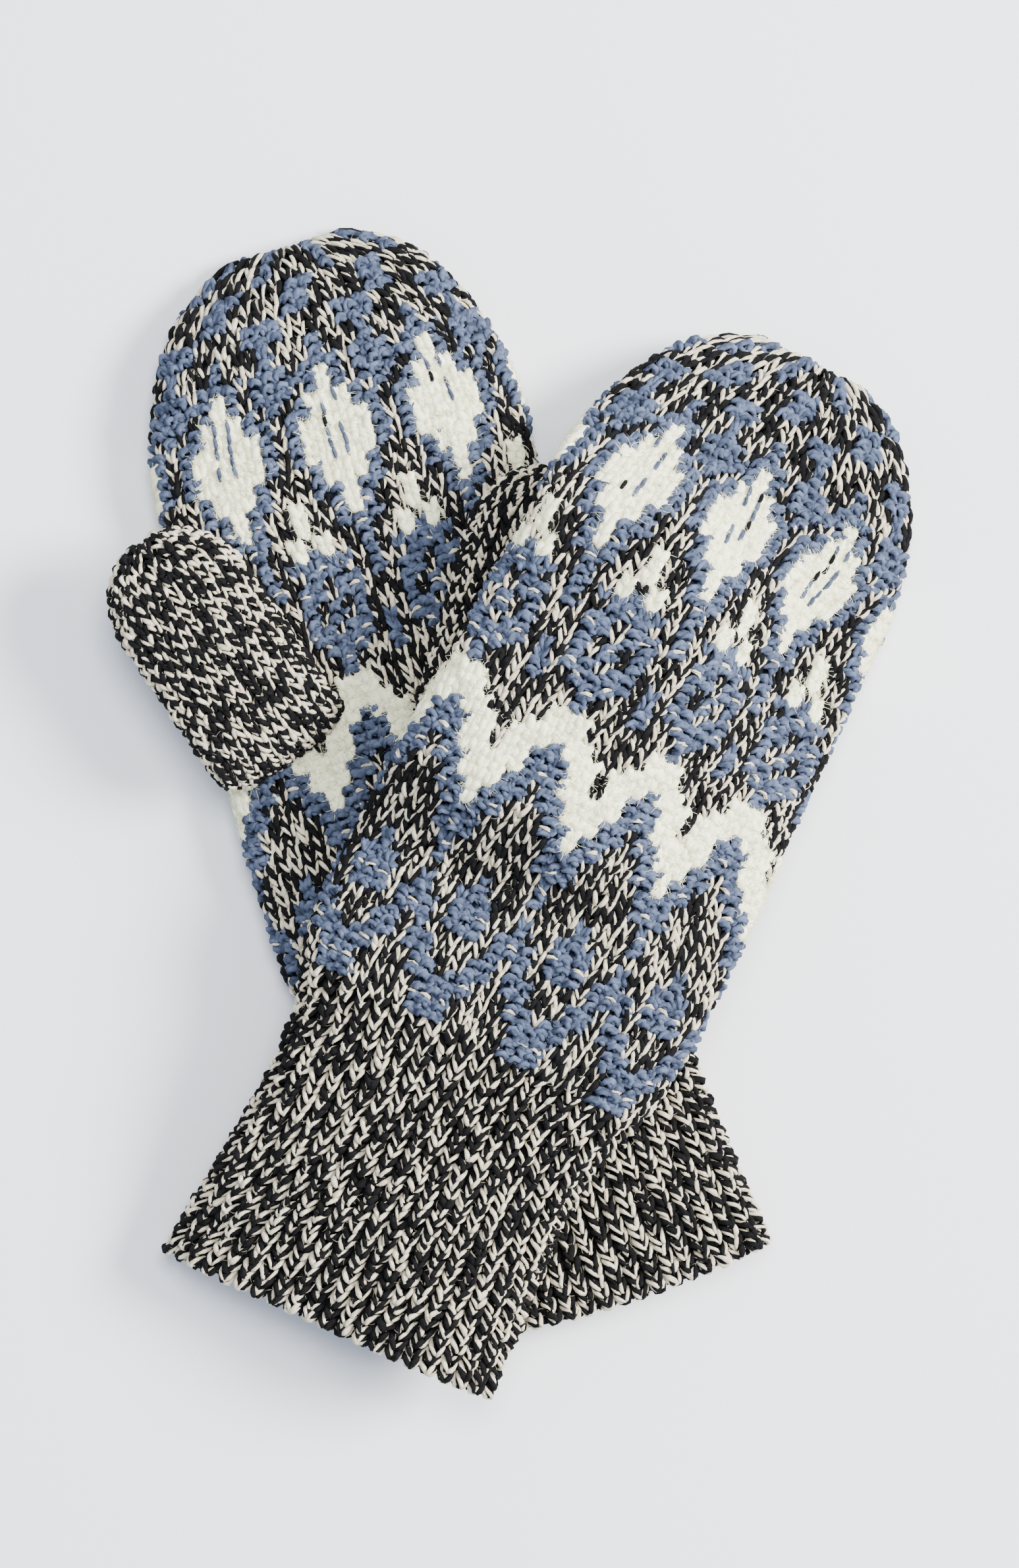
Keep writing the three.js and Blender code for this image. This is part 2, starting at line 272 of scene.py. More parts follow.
def gentle_waves(rng, f, t, turns_range, lengths, size):
    """Uneven swells, as soft fabric has when it lies on a table."""
    total = np.zeros(np.broadcast(f, t).shape)
    for _ in range(WAVES):
        turns, length, phase = rng.integers(*turns_range), rng.uniform(*lengths), rng.uniform(0, 6.3, 2)
        total += np.sin(2 * math.pi * turns * f + phase[0]) * np.sin(2 * math.pi * t / length + phase[1])
    return total * size / math.sqrt(WAVES)


def eased_outline(mitten, u, s):
    """Small departures from the plain outline: a fuller crown, and hems that aren't quite straight."""
    share = u / half_width(0)
    if mitten is LEFT:
        fuller, longer = smoothstep(180, 235, s), smoothstep(225, LENGTH, s)
        hem_bow = 3.6 * (1 - share**2) * (1 - smoothstep(0, 50, s))
        u = u * (1 + 0.035 * fuller) + 1.2 * fuller
        s = s + 2.2 * longer - hem_bow
    else:
        at_hem = (1 - smoothstep(0, 60, s)) * np.clip((1 + share) / 2, 0, 1)
        u, s = u + 1.9 * at_hem, s + 5.8 * at_hem
    return u, s


# How the knitted pattern has crept over the hand as the mitten lies there: where the creep starts and
# is complete, the extra stretch near the middle, and how far it has moved to +u and down at the +u edge.
CREEPS = {
    "left": {"from": 192, "to": 218, "stretch": 0.020, "aside": -2.6, "down": 0.0},
    "right": {"from": 160, "to": 195, "stretch": 0.014, "aside": 3.0, "down": 5.5},
}
CREEP_FADES = (243, 276)  # the move down dies away before the tip
MIDDLE_STRETCH = 0.00875  # extra stitch width on the middle line, all along the hand
FINE_RING = 720  # points round a section before the rings are evened out
SMALLEST_TIP = (0.8, 0.5)  # half width and half thickness where the tip closes


def hand_fabric(mitten, inset=YARN_INSET, outward=1, columns=288, step=1.5):
    """f is 0 on the middle line of the upper side and grows towards +u. t is the station."""
    stations = np.arange(0, LENGTH - 0.3, step)
    f = np.arange(FINE_RING)[None, :] / FINE_RING
    angles = math.pi / 2 - 2 * math.pi * np.arange(FINE_RING) / FINE_RING
    s = stations[:, None]
    half_u = np.maximum(half_width(s) - inset, SMALLEST_TIP[0])
    half_z = np.maximum(half_thickness(s) - inset, SMALLEST_TIP[1])
    u, w = oval(half_u, half_z, angles[None, :])
    floor = -RESTING_SHARE * half_thickness(s)
    upper = np.clip(w / half_z, 0, 1)
    rng = np.random.default_rng(mitten["swell_seed"])
    swell = sum(gentle_waves(rng, f, s, *wave) for wave in SWELLS)
    across = u + bowed(mitten["bow"], s)
    along = np.broadcast_to(s, across.shape)
    z = resting_height(mitten, across, along) + np.maximum(w, floor + inset) - floor + swell * upper
    across, along = eased_outline(mitten, across, along)
    rings = np.stack([across, along, z], axis=-1)
    creep = CREEPS[mitten["name"]]
    crept = smoothstep(creep["from"], creep["to"], stations)
    stretch = MIDDLE_STRETCH + creep["stretch"] * crept
    rings = even_rings(rings, columns, stretch, creep["aside"] * crept)
    to_edge = np.maximum(np.sin(2 * math.pi * np.arange(columns) / columns), 0) ** 2
    fall = creep["down"] * (crept * (1 - smoothstep(*CREEP_FADES, stations)))[:, None] * to_edge[None, :]
    return Fabric(to_row_frame(mitten, lowered_rows(rings, fall, step)), 0.0, step, outward)


BEND_STEPS, STRAIGHT_STEPS = 40, 119
FINE_THUMB_RING = 480
SMALLEST_THUMB_TIP = 0.4


def thumb_base(mitten):
    """Where the thumb's middle line leaves the palm."""
    return THUMB_BASE[0] + bowed(mitten["bow"], THUMB_BASE[1]), THUMB_BASE[1]


def thumb_fabric(mitten, columns=144, step=1.2):
    """The thumb bends out of the palm and then runs straight. t is 0 at the tip and falls towards the
    palm, measured along each line of stitches, and `reach` is how far each line runs."""
    inset = THUMB_INSETS[mitten["name"]]
    lean = THUMB_LEANS[mitten["name"]]
    forward_axis = np.array([-math.sin(lean), math.cos(lean)])
    side_axis = np.array([forward_axis[1], -forward_axis[0]])
    level = HAND_THICKNESS + THUMB_CLEARANCE if mitten["palm"] > 0 else THUMB_TOP
    end = THUMB_REACHES[mitten["name"]] - BEND_RADIUS
    turned = np.concatenate([np.linspace(0, 1, BEND_STEPS), np.ones(STRAIGHT_STEPS)])
    straight = np.linspace(0, end - 0.25, STRAIGHT_STEPS + 1)[1:]
    past = np.concatenate([np.zeros(BEND_STEPS), straight])
    left = np.clip(1 - (end - past) / THUMB_TIP_ROUNDING, 0, 1)
    full = np.sqrt(1 - left * left)
    half_v = np.maximum(THUMB_HALF_WIDTH * full**THUMB_TIP_FULLNESS - inset, SMALLEST_THUMB_TIP)
    half_r = np.maximum(THUMB_HALF_THICKNESS * full - inset, SMALLEST_THUMB_TIP)
    angles = math.pi / 2 - 2 * math.pi * np.arange(FINE_THUMB_RING)[None, :] / FINE_THUMB_RING
    v, r = oval(half_v[:, None], half_r[:, None], angles)
    bend = (turned * math.pi / 2)[:, None]
    radius = BEND_RADIUS + r
    forward = BEND_RADIUS - radius * np.cos(bend) + past[:, None]
    out = radius * np.sin(bend)
    flat = np.array(thumb_base(mitten)) + forward[..., None] * forward_axis + v[..., None] * side_axis
    z = level + mitten["palm"] * out
    rings = even_rings(np.concatenate([flat, z[..., None]], axis=-1), columns)
    lengths = np.linalg.norm(np.diff(rings, axis=0), axis=2)
    from_tip = np.concatenate([np.cumsum(lengths[::-1], axis=0)[::-1], np.zeros((1, columns))])
    longest = from_tip[0].max()
    rows = np.arange(-longest - step, 0.0, step)
    grid = np.empty((len(rows), columns, 3))
    for k in range(columns):
        for axis in range(3):
            grid[:, k, axis] = np.interp(rows, -from_tip[:, k], rings[:, k, axis])
    fabric = Fabric(to_row_frame(mitten, grid), rows[0], step, outward=mitten["palm"])
    fabric.reach = from_tip[0]
    return fabric


# ---- Yarn paths -----------------------------------------------------------------------------------
# Each path is a list of points (x in stitch widths, y in rows, height in millimetres). One leg of a
# knit stitch rises out of the stitch below, leans outwards and dips behind the stitch above. A purl
# stitch shows a bump across it, and a link that sags between it and the next one.
KNIT_LEG = np.array(
    [
        [0.04, -0.42, -1.0],
        [0.08, -0.14, 0.0],
        [0.15, 0.18, 0.55],
        [0.24, 0.47, 0.75],
        [0.33, 0.76, 0.55],
        [0.40, 1.02, -0.1],
        [0.42, 1.24, -1.0],
    ]
)
RIB_LEG = np.array(
    [
        [0.03, -0.30, -0.9],
        [0.06, -0.08, 0.05],
        [0.13, 0.16, 0.60],
        [0.22, 0.39, 0.80],
        [0.31, 0.61, 0.60],
        [0.38, 0.84, 0.0],
        [0.40, 1.05, -0.9],
    ]
)
WHITE_LEG = KNIT_LEG * np.array([1.0, 1.0, 0.6])  # matted, so it stands less proud
PURL_BUMP = np.array(
    [
        [-0.42, 0.00, -1.0],
        [-0.36, 0.24, 0.25],
        [-0.21, 0.47, 0.95],
        [0.0, 0.58, 1.2],
        [0.21, 0.47, 0.95],
        [0.36, 0.24, 0.25],
        [0.42, 0.00, -1.0],
    ]
)
PURL_LINK = np.array(
    [
        [0.20, 1.10, -0.9],
        [0.25, 0.90, 0.0],
        [0.36, 0.74, 0.6],
        [0.50, 0.68, 0.8],
        [0.64, 0.74, 0.6],
        [0.75, 0.90, 0.0],
        [0.80, 1.10, -0.9],
    ]
)
FLOAT_DASH = np.array(
    [
        [-0.52, 0.80, -0.3],
        [-0.30, 0.96, 1.25],
        [0.0, 1.04, 1.75],
        [0.30, 0.96, 1.25],
        [0.52, 0.80, -0.3],
    ]
)
SLIT = np.array([[0.0, -0.15, 1.1], [0.02, 0.25, 1.85], [-0.02, 0.70, 1.85], [0.0, 1.10, 1.1]])
HEM_LOOP = np.array(
    [
        [-0.40, 0.75, -0.6],
        [-0.36, 0.15, 0.30],
        [-0.20, -0.30, 0.35],
        [0.0, -0.46, 0.35],
        [0.20, -0.30, 0.35],
        [0.36, 0.15, 0.30],
        [0.40, 0.75, -0.6],
    ]
)


def mirrored(path):
    return path * np.array([-1.0, 1.0, 1.0])


def shorter(path, points):
    """The same path with fewer points, for stitches on the underside."""
    old = np.linspace(0, 1, len(path))
    new = np.linspace(0, 1, points)
    return np.stack([np.interp(new, old, path[:, axis]) for axis in range(3)], axis=1)


def unit(vectors):
    return vectors / np.maximum(np.linalg.norm(vectors, axis=-1, keepdims=True), 1e-9)


HEIGHT_WANDER = 0.16


class Stitches:
    """Stitches of one kind on one fabric: the f and t of each, the number of stitches round the fabric
    there (`wales`), the row height (`pitch`) and the height of the ribs."""

    def __init__(self, fabric, f, t, wales, pitch, rib=0.0):
        self.fabric = fabric
        self.f, self.t = np.asarray(f, float), np.asarray(t, float)
        self.wales = np.broadcast_to(wales, self.f.shape).astype(float)
        self.pitch, self.rib = pitch, rib

    def __len__(self):
        return len(self.f)

    def chosen(self, mask):
        return Stitches(self.fabric, self.f[mask], self.t[mask], self.wales[mask], self.pitch, self.rib)

    def paths(self, template, rng, wander=0.05, turn=0.04):
        """Centre points [stitch, point, 3] and outward normals for the template on every stitch.
        Each stitch is moved a little, by `wander` stitch widths, and turned, by `turn` radians."""
        n = len(self)
        middle = template.mean(0)
        width = (self.fabric.girth(self.t) / self.wales)[:, None]
        angle = rng.normal(0, turn, (n, 1))
        dx = (template[None, :, 0] - middle[0]) * width
        dy = (template[None, :, 1] - middle[1]) * self.pitch
        x = middle[0] + (dx * np.cos(angle) - dy * np.sin(angle)) / width
        y = middle[1] + (dx * np.sin(angle) + dy * np.cos(angle)) / self.pitch
        x = x + rng.normal(0, wander, (n, 1))
        y = y + rng.normal(0, wander, (n, 1))
        h = template[None, :, 2] + rng.normal(0, HEIGHT_WANDER, (n, 1))
        h = h + self.rib * np.cos(2 * math.pi * x)
        f = self.f[:, None] + x / self.wales[:, None]
        t = self.t[:, None] + y * self.pitch
        return self.fabric.lifted(f, t, h)


def tube_rings(centres, normals, radii, sides):
    """Rings of points round each path."""
    tangents = unit(np.gradient(centres, axis=1))
    side = unit(np.cross(tangents, normals))
    up = np.cross(side, tangents)
    angles = 2 * math.pi * np.arange(sides) / sides
    ring = (
        side[:, :, None] * np.cos(angles)[None, None, :, None]
        + up[:, :, None] * np.sin(angles)[None, None, :, None]
    )
    return centres[:, :, None] + ring * radii[:, :, None, None]


NARROWEST_END = 0.4


def ends_in(count):
    """Radius factors that round off the two ends of a path."""
    t = np.linspace(-1, 1, count)
    return NARROWEST_END + (1 - NARROWEST_END) * (1 - np.abs(t) ** 3)


THICKNESS_KNOTS = 4  # places along a path where a ply's thickness is drawn
THINNEST, THICKEST = 0.65, 1.6


def plied(centres, normals, rng, ply_radii, offset, twist, sides, unevenness=0.14, turned=None):
    """Two plies twisted round each path, as one array of rings for each ply. `turned` is the angle
    of the first ply at the middle of each path, where a quarter turn puts it on top."""
    n, m = centres.shape[:2]
    tangents = unit(np.gradient(centres, axis=1))
    side = unit(np.cross(tangents, normals))
    up = np.cross(side, tangents)
    if turned is None:
        turned = rng.uniform(0, 2 * math.pi, n)
    phase = turned[:, None] + np.linspace(-twist / 2, twist / 2, m)[None, :]
    made = []
    for ply, ply_radius in enumerate(np.broadcast_to(ply_radii, 2)):
        angle = phase + math.pi * ply
        aside = side * np.cos(angle)[..., None] + up * np.sin(angle)[..., None]
        middle = centres + offset * aside
        knots = rng.normal(0, unevenness, (n, THICKNESS_KNOTS))
        place = np.linspace(0, THICKNESS_KNOTS - 1, m)
        i = np.minimum(place.astype(int), THICKNESS_KNOTS - 2)
        swell = knots[:, i] * (1 - (place - i)) + knots[:, i + 1] * (place - i)
        radii = ply_radius * np.clip(1 + swell, THINNEST, THICKEST) * ends_in(m)[None, :]
        made.append(tube_rings(middle, normals, radii, sides))
    return made


# ---- Pieces -----------------------------------------------------------------------------------------
# Each tube has a square cell of the UV map: its sides fill the cell inside a margin, and both its end
# caps lie in the cell's corner.
CELL_MARGIN = 0.08
CAP_CENTRE, CAP_RADIUS = 0.04, 0.02
LOWEST_YARN, LOWEST_GROUND = 0.02, 0.05  # millimetres above the floor


def shape_mesh(name, parts, material):
    """One mesh from arrays of rings [tube, ring, side, 3]. Every tube is closed at both ends."""
    vertices, loops, starts, uvs = [], [], [], []
    base = loop_count = 0
    tubes = sum(len(part) for part in parts)
    cells = max(1, math.ceil(math.sqrt(tubes)))
    tube_base = 0
    for part in parts:
        n, m, k, _ = part.shape
        vertices.append(part.reshape(-1, 3))
        tube = np.arange(n)[:, None, None]
        ring = np.arange(m - 1)[None, :, None]
        side = np.arange(k)[None, None, :]
        near = base + (tube * m + ring) * k
        a, b = near + side, near + (side + 1) % k
        quads = np.stack([a, a + k, b + k, b], axis=-1).reshape(-1, 4)
        loops.append(quads.ravel())
        starts.append(loop_count + 4 * np.arange(len(quads)))
        loop_count += quads.size
        cell = tube_base + tube
        corner = np.stack(np.broadcast_arrays(cell % cells, cell // cells), -1)[:, :, :, None, :]
        inside = np.stack(
            np.broadcast_arrays(
                np.stack([ring, ring + 1, ring + 1, ring], -1) / (m - 1),
                np.stack([side, side, side + 1, side + 1], -1) / k,
            ),
            -1,
        )
        corner = corner + CELL_MARGIN
        uvs.append(((corner + (1 - 2 * CELL_MARGIN) * inside) / cells).reshape(-1, 2))
        first = base + np.arange(n)[:, None] * m * k
        start_caps = first + np.arange(k)[None, :]
        end_caps = first + (m - 1) * k + np.arange(k)[None, ::-1]
        caps = np.concatenate([start_caps, end_caps])
        loops.append(caps.ravel())
        starts.append(loop_count + k * np.arange(len(caps)))
        loop_count += caps.size
        spot = np.tile(tube_base + np.arange(n), 2).repeat(k)
        turn = np.tile(2 * math.pi * np.arange(k) / k, 2 * n)
        middle = np.stack([spot % cells, spot // cells], -1) + CAP_CENTRE
        uvs.append((middle + CAP_RADIUS * np.stack([np.cos(turn), np.sin(turn)], -1)) / cells)
        base += n * m * k
        tube_base += n
    return finish_mesh(name, vertices, loops, starts, uvs, material, LOWEST_YARN)


def finish_mesh(name, vertices, loops, starts, uvs, material, lowest):
    points = np.concatenate(vertices)
    points[:, 2] = np.maximum(points[:, 2], lowest)
    loops, starts, uvs = np.concatenate(loops), np.concatenate(starts), np.concatenate(uvs)
    mesh = bpy.data.meshes.new(name)
    mesh.vertices.add(len(points))
    mesh.vertices.foreach_set("co", (points * MM).astype(np.float32).ravel())
    mesh.loops.add(len(loops))
    mesh.loops.foreach_set("vertex_index", loops.astype(np.int32))
    mesh.polygons.add(len(starts))
    mesh.polygons.foreach_set("loop_start", starts.astype(np.int32))
    mesh.update(calc_edges=True)
    mesh.polygons.foreach_set("use_smooth", np.ones(len(starts), bool))
    layer = mesh.uv_layers.new(name="OFBake")
    layer.data.foreach_set("uv", uvs.astype(np.float32).ravel())
    mesh.validate()
    mesh.materials.append(material)
    piece = bpy.data.objects.new(name, mesh)
    bpy.context.scene.collection.objects.link(piece)
    return piece


# ---- Materials ----------------------------------------------------------------------------------
def linear(r, g, b):
    def channel(value):
        value /= 255
        return value / 12.92 if value <= 0.04045 else ((value + 0.055) / 1.055) ** 2.4

    return (channel(r), channel(g), channel(b), 1.0)


def yarn_material(name, dark, light, mottle=700, fleck=None):
    """Spun yarn: a mottled colour with a few flecks, and fine fibres that show as a bump."""
    material = bpy.data.materials.new(name)
    material.use_nodes = True
    nodes, links = material.node_tree.nodes, material.node_tree.links
    shader = nodes["Principled BSDF"]
    shader.inputs["Roughness"].default_value = 0.9
    shader.inputs["Specular IOR Level"].default_value = 0.12
    place = nodes.new("ShaderNodeTexCoord")
    broad = nodes.new("ShaderNodeTexNoise")
    broad.inputs["Scale"].default_value = mottle
    broad.inputs["Detail"].default_value = 3
    ramp = nodes.new("ShaderNodeValToRGB")
    ramp.color_ramp.elements[0].position = 0.3
    ramp.color_ramp.elements[0].color = dark
    ramp.color_ramp.elements[1].position = 0.7
    ramp.color_ramp.elements[1].color = light
    if fleck:
        ramp.color_ramp.elements.new(0.93).color = fleck
    fine = nodes.new("ShaderNodeTexNoise")
    fine.inputs["Scale"].default_value = 3200
    fine.inputs["Detail"].default_value = 2
    bump = nodes.new("ShaderNodeBump")
    bump.inputs["Strength"].default_value = 0.35
    bump.inputs["Distance"].default_value = 0.0002
    links.new(place.outputs["Object"], broad.inputs["Vector"])
    links.new(place.outputs["Object"], fine.inputs["Vector"])
    links.new(broad.outputs["Fac"], ramp.inputs["Fac"])
    links.new(ramp.outputs["Color"], shader.inputs["Base Color"])
    links.new(fine.outputs["Fac"], bump.inputs["Height"])
    links.new(bump.outputs["Normal"], shader.inputs["Normal"])
    return material


CREAM = yarn_material("cream_ply", linear(172, 162, 140), linear(221, 213, 192))
BLACK = yarn_material("black_ply", linear(6, 6, 7), linear(20, 20, 22), fleck=linear(40, 40, 42))
BLUE = yarn_material("blue_yarn", linear(44, 51, 68), linear(94, 105, 129), mottle=420)
WHITE = yarn_material("white_wool", linear(225, 223, 192), linear(250, 251, 222), mottle=420)


def shaded_ground_material():
    """The fabric's hidden ground, between the stitches: the mottled greys only shade a tint that comes
    from the chart. That tint is the colour of the yarn behind, made darker as painted shade for the
    gaps between the stitches."""
    material = yarn_material("fabric_ground_and_painted_shade", (0.45, 0.45, 0.45, 1), (1, 1, 1, 1))
    nodes, links = material.node_tree.nodes, material.node_tree.links
    ramp = next(node for node in nodes if node.type == "VALTORGB")
    tint = nodes.new("ShaderNodeAttribute")
    tint.attribute_name = "tint"
    mix = nodes.new("ShaderNodeMix")
    mix.data_type = "RGBA"
    mix.blend_type = "MULTIPLY"
    mix.inputs["Factor"].default_value = 1.0
    links.new(ramp.outputs["Color"], mix.inputs["A"])
    links.new(tint.outputs["Color"], mix.inputs["B"])
    links.new(mix.outputs["Result"], nodes["Principled BSDF"].inputs["Base Color"])
    return material


SHADED_GROUND = shaded_ground_material()

# ---- The charts ---------------------------------------------------------------------------------
# One string for each row of the hand, from the wrist up, over the eight-stitch repeat. Stitch 0 is the
# middle of the hexagons and stitch 4 is the middle of the leaves.
#   . marl knit   b blue purl   f blue purl under a cream float   v blue knit   W white knit
CHART = """
bb.....b ff.....f bb.....b bbf...fb .bb...bb ..bb.bb. ..bb.bb. ...b.b.. bb.bfb.b ff.bbb.f
bb..b..b bv..v..v b....... v...b... ....f... ....v... ...bfb.. ...bbb.. ...bbb.. ..fbWbf.
..bbWbb. .fbWWWbf .bbWWWbb fbWWWWWb bbWW.WWb bbWW.WWb bWWW.WWW WWW...WW WW.....W WW.....W
b....... f...b... bf..b..f bbf.v.fb .bb.v.bb f.b...b. b.b...b. .bf...fb .bb.f.bb fb..b..b
bvv.b.vv vW..b..W .W..f..W W..bbb.. W..fWf.. W..bWb.. ..bbWbb. ..bWWWb. ..bWWWb. .bWWWWWb
.bWWWWWb .bWWWWWb .bWWWWWb .bbWWWbb b.bWWWb. bb.bWb.b bbbbWb.b bb.bbb.b b...b... v...b...
""".split()
LEAF_MIDDLE = 4
FIRST_SLIT, LAST_SLIT = 49, 54  # rows of the leaves with a line on either side of the middle stitch
SLIT_SHARE, BLACK_SLIT_SHARE, SLIT_RADIUS = 0.7, 0.25, 0.58
FLOAT_SHARE = 0.8  # of the stitches charted with a float that show one
REPEAT = 8  # stitches in one repeat
REPEATS = 8  # repeats round the hand
WALES = REPEAT * REPEATS
ROW = 2.876
FIRST_ROW = 85.0
LAST_ROW_GAP = 2.5  # no row starts closer to the tip than this
FULL_STATION = 200.0  # where the hand has all its stitches, before the crown
# Blue blobs on the crown: first row, last row and the stitch of the repeat that each is centred on.
CROWN_BLOBS = [(60, 61, 0), (62, 64, 4), (65, 67, 0), (69, 71, 4)]
BLOB_HALF_WIDTH = 1.3

CUFF_WALES = 42
CUFF_ROWS = 31
CUFF_ROW = (WRIST + 1.2) / CUFF_ROWS
FIRST_CUFF_ROW = 0.6
HEM_ROW = 0.9  # t of the loops along the hem
LINED_ROWS = 17  # rows whose inner face can be seen through the mouth of the cuff
INNER_INSET = 4.2  # from the outside of the cuff to the yarn on its inner face
THUMB_WALES = 26
THUMB_ROW = 2.75
FIRST_THUMB_ROW = -THUMB_ROW - 0.4
FULL_THUMB = -30.0  # t where the thumb has all its stitches
HALVED, QUARTERED = 0.62, 0.34  # shares of the full girth where only a half or a quarter are left
MARL, BLUE_PURL, FLOAT, BLUE_KNIT, WHITE_KNIT = ".", "b", "f", "v", "W"
# Colours of the ground under each kind of stitch: each yarn's own colour darkened, painted shade for the
# gaps between the stitches. The marl's is near black.
SHADED_GROUND_TINTS = {
    MARL: linear(16, 16, 17),
    BLUE_PURL: linear(30, 36, 52),
    FLOAT: linear(30, 36, 52),
    BLUE_KNIT: linear(30, 36, 52),
    WHITE_KNIT: linear(190, 188, 172),
}


def chart_rows(fabric, from_s, to_s):
    """(station, middles of the stitches in one repeat, colours) for each row between two stations."""
    full = fabric.girth(FULL_STATION)
    rows = []
    r = 0
    while FIRST_ROW + r * ROW < LENGTH - LAST_ROW_GAP:
        s = FIRST_ROW + r * ROW
        if from_s - ROW / 2 <= s + ROW / 2 < to_s - ROW / 2 + 1e-6:
            if r < len(CHART):
                centres, colours = np.arange(REPEAT, dtype=float), list(CHART[r])
            else:
                count = int(np.clip(round(REPEAT * fabric.girth(s) / full), 1, REPEAT))
                centres = (np.arange(count) + 0.5) * REPEAT / count - 0.5
                colours = [MARL] * count
                for first, last, middle in CROWN_BLOBS:
                    if first <= r <= last:
                        away = np.abs((centres - middle + REPEAT / 2) % REPEAT - REPEAT / 2)
                        near = (away < BLOB_HALF_WIDTH) | (away == away.min())
                        colours = [BLUE_PURL if n else c for n, c in zip(near, colours)]
            rows.append((s, centres, colours))
        r += 1
    return rows


def leaf_slits(mitten, fabric):
    """Places of the short lines inside the leaves, some of them left out."""
    cells = [
        ((LEAF_MIDDLE + side + REPEAT * repeat - mitten["chart_at_middle"]) / WALES, FIRST_ROW + r * ROW)
        for r in range(FIRST_SLIT, LAST_SLIT + 1)
        for repeat in range(REPEATS)
        for side in (-0.5, 0.5)
        if mitten["rng"].random() > 1 - SLIT_SHARE
    ]
    return Stitches(fabric, *np.array(cells).T, WALES, ROW)


def hand_stitches(mitten, fabric, from_s, to_s):
    """Stitches of the hand by colour: {colour: Stitches}."""
    found = {}
    for s, centres, colours in chart_rows(fabric, from_s, to_s):
        for repeat in range(REPEATS):
            for centre, colour in zip(centres, colours):
                column = centre + REPEAT * repeat
                f = (column - mitten["chart_at_middle"]) / WALES
                found.setdefault(colour, []).append((f, s, len(centres) * REPEATS))
    return {colour: Stitches(fabric, *np.array(cells).T, ROW) for colour, cells in found.items()}


def cuff_stitches(fabric, rows=CUFF_ROWS, offset=0.0, rib=1.15):
    """Even rows from the hem, `offset` stitches round from the middle line, in ribs `rib` high."""
    columns = (np.arange(CUFF_WALES) + offset) / CUFF_WALES
    f, t = np.meshgrid(columns, FIRST_CUFF_ROW + CUFF_ROW * np.arange(rows))
    return Stitches(fabric, f.ravel(), t.ravel(), CUFF_WALES, CUFF_ROW, rib)


def thumb_stitches(fabric):
    """Rows run from the tip down to the palm, with fewer stitches where the tip rounds off."""
    full = fabric.girth(FULL_THUMB)
    cells = []
    t = FIRST_THUMB_ROW
    while t > fabric.start:
        share = fabric.girth(t) / full
        step = 1 if share > HALVED else 2 if share > QUARTERED else 4
        for wale in range(0, THUMB_WALES, step):
            f = wale / THUMB_WALES
            reach = np.interp(f % 1, np.arange(len(fabric.reach)) / len(fabric.reach), fabric.reach)
            if -t < reach + THUMB_ROW:
                cells.append((f, t, THUMB_WALES / step))
        t -= THUMB_ROW
    return Stitches(fabric, *np.array(cells).T, THUMB_ROW)


SEEN_SHARE = 0.29  # of the way round, on either side of the middle line


def seen_from_above(stitches):
    """The upper side and both edges, where each yarn is drawn with more sides."""
    aside = np.abs((stitches.f + 0.5) % 1 - 0.5)
    return aside < SEEN_SHARE


# ---- Yarn on the stitches -----------------------------------------------------------------------
MARL_RADII = np.array([0.56, 0.74])  # the cream ply and the black ply
CUFF_RADII = np.array([0.58, 0.76])
HIGH = {"points": 7, "sides": 5}
LOW = {"points": 5, "sides": 4}


def levels(stitches):
    """The stitches seen from above and the others, with their detail. An empty group is left out."""
    above = seen_from_above(stitches)
    groups = [(stitches.chosen(above), HIGH), (stitches.chosen(~above), LOW)]
    return [(group, level) for group, level in groups if len(group)]


def marl_legs(stitches, rng, leg=KNIT_LEG, radii=MARL_RADII):
    """Cream and black plies for both legs of every stitch. The yarn turns on as it is knitted, so
    that cream and black come to the top by turns."""
    cream, black = [], []
    for group, level in levels(stitches):
        turned = math.pi / 2 + np.cumsum(rng.normal(2.2, 1.0, len(group)))
        for template in (leg, mirrored(leg)):
            path = shorter(template, level["points"])
            centres, normals = group.paths(path, rng, turn=0.08)
            light, dark = plied(
                centres, normals, rng, radii, offset=0.44, twist=3.4, sides=level["sides"],
                unevenness=0.24, turned=turned,
            )
            cream.append(light)
            black.append(dark)
            turned = turned + rng.normal(0.7, 0.7, len(group))
    return cream, black


def single_colour(stitches, template, rng, radius, offset, both_legs=False, **scatter):
    """Both plies in one colour. `scatter` is the wander and turn of the paths."""
    made = []
    for group, level in levels(stitches):
        for shape in (template, mirrored(template)) if both_legs else (template,):
            path = shorter(shape, level["points"])
            centres, normals = group.paths(path, rng, **scatter)
            made += plied(centres, normals, rng, radius, offset, twist=3.6, sides=level["sides"])
    return made


def white_legs(stitches, rng):
    """Thick single yarn for both legs of every stitch."""
    made = []
    for group, level in levels(stitches):
        for template in (WHITE_LEG, mirrored(WHITE_LEG)):
            path = shorter(template, level["points"])
            centres, normals = group.paths(path, rng, turn=0.08)
            radii = rng.uniform(1.25, 1.5, (len(group), 1)) * ends_in(level["points"])[None, :]
            made.append(tube_rings(centres, normals, radii, level["sides"] + 1))
    return made


